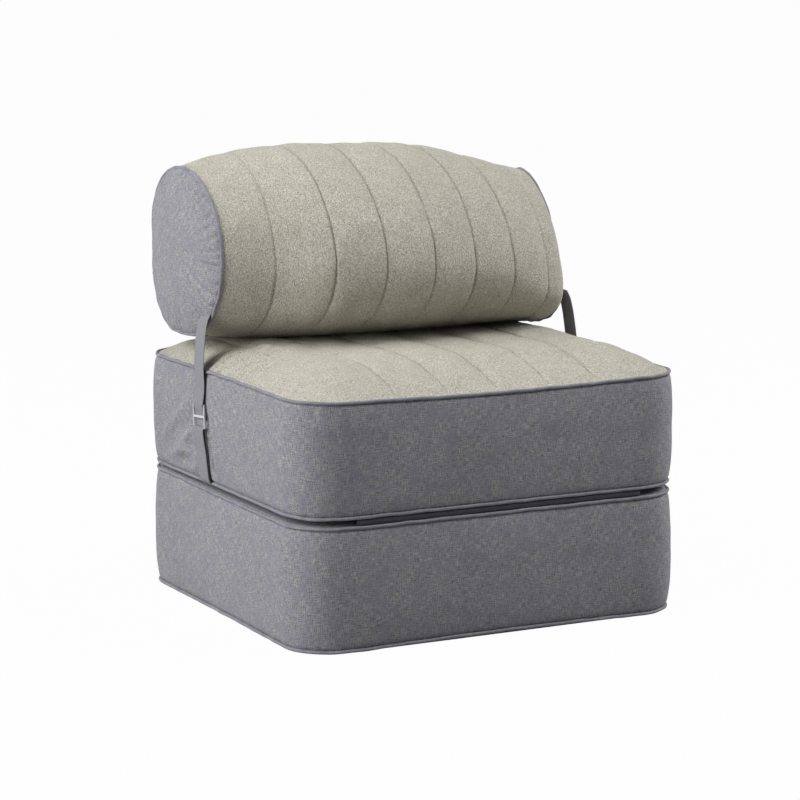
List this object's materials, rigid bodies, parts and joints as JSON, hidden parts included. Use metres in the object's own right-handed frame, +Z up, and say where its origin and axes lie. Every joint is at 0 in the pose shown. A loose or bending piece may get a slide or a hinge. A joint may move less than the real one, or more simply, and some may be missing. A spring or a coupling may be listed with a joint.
{
  "type": "convertible chair bed",
  "caption": "Upholstered foam chair bed: two stacked blocks and a quilted back cushion that unfold flat on cloth hinges, with side straps and buckles.",
  "frame": {"origin": "centre of the underside of the base block, on the floor", "axes": "+Z up, -Y towards the front of the seat, +X to the sitter's left hand side as seen from the front"},
  "size_m": [0.7284, 0.6792, 0.7623],
  "materials": {
    "grey_weave": "coarse melange woven cloth",
    "grey_piping": "woven cloth over cord",
    "greige_plush": "short pile plush",
    "grey_webbing": "ribbed webbing",
    "bright_metal": "polished",
    "dark_metal": "satin",
    "zip_cloth": "fine twill tape",
    "dark_weave": "plain woven cloth",
    "wadding": "soft fibre fill",
    "foam": "open-cell foam"
  },
  "bodies": {
    "base": {"base_border": "grey_weave", "base_bottom_panel": "grey_weave", "base_bottom_piping": "grey_piping", "base_foam_core": "foam", "base_top_panel": "grey_weave", "base_top_piping": "grey_piping", "base_zip_tape": "zip_cloth"},
    "seat": {"back_flap": "dark_weave", "fold_strip": "dark_weave", "left_buckle": "bright_metal", "left_lower_strap": "grey_webbing", "right_buckle": "bright_metal", "right_lower_strap": "grey_webbing", "seat_border": "grey_weave", "seat_bottom_panel": "grey_weave", "seat_bottom_piping": "grey_piping", "seat_comfort_layer": "foam", "seat_foam_core": "foam", "seat_quilted_top": "greige_plush", "seat_top_piping": "grey_piping", "seat_zip_tape": "zip_cloth"},
    "backrest": {"backrest_cover": "greige_plush", "backrest_foam_core": "foam", "backrest_wadding": "wadding", "backrest_zip_tape": "zip_cloth", "left_cap_piping": "grey_piping", "left_end_cap": "grey_weave", "left_upper_strap": "grey_webbing", "right_cap_piping": "grey_piping", "right_end_cap": "grey_weave", "right_upper_strap": "grey_webbing"},
    "backrest_zip_pull": {"backrest_zip_pull": "dark_metal"},
    "backrest_zip_slider": {"backrest_zip_slider": "dark_metal"},
    "base_zip_pull": {"base_zip_pull": "dark_metal"},
    "base_zip_slider": {"base_zip_slider": "dark_metal"},
    "seat_zip_pull": {"seat_zip_pull": "dark_metal"},
    "seat_zip_slider": {"seat_zip_slider": "dark_metal"}
  },
  "joints": [
    {"name": "seat_unfold", "type": "hinge", "parent": "base", "child": "seat", "pos_m": [0, -0.3362, 0.21], "axis": [1, 0, 0], "range_deg": [0, 180], "deforming": ["fold_strip"]},
    {"name": "backrest_fold", "type": "hinge", "parent": "seat", "child": "backrest", "pos_m": [0, 0.332, 0.425], "axis": [1, 0, 0], "range_deg": [-180, 0], "deforming": ["back_flap", "left_upper_strap", "right_upper_strap"]},
    {"name": "base_zip_run", "type": "slide", "parent": "base", "child": "base_zip_slider", "axis": [-1, 0, 0], "range_m": [0, 0.515]},
    {"name": "base_zip_pull_swing", "type": "hinge", "parent": "base_zip_slider", "child": "base_zip_pull", "pos_m": [0.26, 0.3415, 0.104], "axis": [0, 0, -1], "range_deg": [0, 180]},
    {"name": "seat_zip_run", "type": "slide", "parent": "seat", "child": "seat_zip_slider", "axis": [-1, 0, 0], "range_m": [0, 0.515]},
    {"name": "seat_zip_pull_swing", "type": "hinge", "parent": "seat_zip_slider", "child": "seat_zip_pull", "pos_m": [0.26, 0.3415, 0.309], "axis": [0, 0, -1], "range_deg": [0, 180]},
    {"name": "backrest_zip_run", "type": "slide", "parent": "backrest", "child": "backrest_zip_slider", "axis": [-1, 0, 0], "range_m": [0, 0.515]},
    {"name": "backrest_zip_pull_swing", "type": "hinge", "parent": "backrest_zip_slider", "child": "backrest_zip_pull", "pos_m": [0.26, 0.307, 0.5778], "axis": [0, 0, -1], "range_deg": [0, 180]}
  ],
  "couplings": [
    {"joint": "backrest_fold", "follows": "seat_unfold", "ratio": -1}
  ]
}
